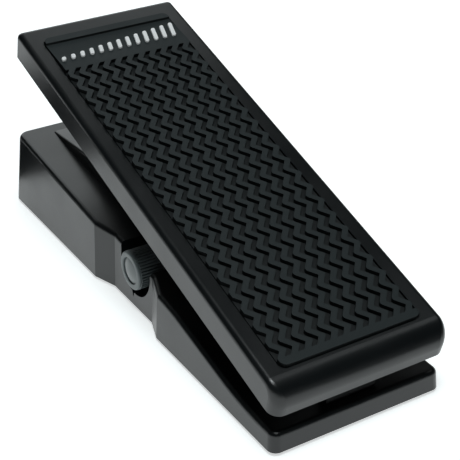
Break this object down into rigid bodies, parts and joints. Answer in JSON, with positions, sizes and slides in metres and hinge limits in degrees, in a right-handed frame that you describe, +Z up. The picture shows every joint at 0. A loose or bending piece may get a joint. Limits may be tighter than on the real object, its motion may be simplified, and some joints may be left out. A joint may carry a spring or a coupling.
{
  "type": "volume pedal",
  "caption": "Rocking foot pedal for volume or expression: a treadle with a rubber zigzag tread on a hollow waisted base, with a geared sensor and a ridged range knob in the side.",
  "frame": {"origin": "middle of the whole pedal's footprint, on the surface that its feet stand on", "axes": "+Y from heel to toe, +X to the user's right, +Z up"},
  "size_m": [0.0842, 0.2577, 0.1023],
  "materials": {
    "black_shell": "satin moulded, fine grain",
    "tread_rubber": "matt moulded rubber with zigzag tread",
    "emblem_white": "white raised print",
    "knob_grey": "satin moulded",
    "knob_disc": "satin, dished",
    "plate_steel": "black powder coat",
    "bright_steel": "zinc plated",
    "bush_bronze": "sintered",
    "foot_rubber": "matt",
    "gear_acetal": "smooth moulded",
    "board_green": "solder mask",
    "header_white": "moulded",
    "pot_can": "plain",
    "socket_black": "moulded",
    "nickel": "nickel plated",
    "switch_black": "moulded"
  },
  "bodies": {
    "base": {"base_shell": "black_shell", "bottom_plate": "plate_steel", "bottom_screws": "bright_steel", "toe_buffer": "foot_rubber", "heel_buffer": "foot_rubber", "pivot_bush_left": "bush_bronze", "pivot_bush_right": "bush_bronze", "range_pot_body": "pot_can", "range_pot_washer": "nickel", "range_pot_nut": "nickel", "sensor_pot_body": "pot_can", "sensor_pot_nut": "nickel", "sensor_bracket": "bright_steel", "bracket_screws": "bright_steel", "circuit_board": "board_green", "sensor_header": "header_white", "range_header": "header_white", "output_header": "header_white", "board_spacers": "bright_steel", "board_screws": "bright_steel", "polarity_switch_body": "switch_black", "jack_socket": "socket_black", "jack_washer": "nickel", "jack_nut": "nickel", "foot_heel_left": "foot_rubber", "foot_heel_right": "foot_rubber", "foot_toe_left": "foot_rubber", "foot_toe_right": "foot_rubber"},
    "treadle": {"treadle_shell": "black_shell", "tread_pad": "tread_rubber", "pad_emblem": "emblem_white", "pivot_shaft": "bright_steel", "shaft_clip_left": "bright_steel", "shaft_clip_right": "bright_steel", "friction_washer_left": "bright_steel", "friction_washer_right": "bright_steel", "sector_gear": "gear_acetal", "sector_grub_screw": "bright_steel"},
    "pinion": {"sensor_pinion": "gear_acetal", "sensor_pot_shaft": "nickel"},
    "range_knob": {"range_knob": "knob_grey", "knob_cap": "knob_disc", "range_pot_shaft": "nickel"},
    "polarity_slider": {"polarity_switch_slider": "switch_black"}
  },
  "joints": [
    {"name": "treadle_tilt", "type": "hinge", "parent": "base", "child": "treadle", "pos_m": [0, -0.0082, 0.0485], "axis": [1, 0, 0], "range_deg": [-22, 2]},
    {"name": "pinion_spin", "type": "hinge", "parent": "base", "child": "pinion", "pos_m": [0, 0.00701, 0.01587], "axis": [1, 0, 0], "range_deg": [-15, 115]},
    {"name": "range_knob_turn", "type": "hinge", "parent": "base", "child": "range_knob", "pos_m": [-0.03, -0.0037, 0.0213], "axis": [-1, 0, 0], "range_deg": [-150, 150]},
    {"name": "polarity_slide", "type": "slide", "parent": "base", "child": "polarity_slider", "axis": [0, 1, 0], "range_m": [0, 0.003]}
  ],
  "couplings": [
    {"joint": "pinion_spin", "follows": "treadle_tilt", "ratio": -5}
  ]
}
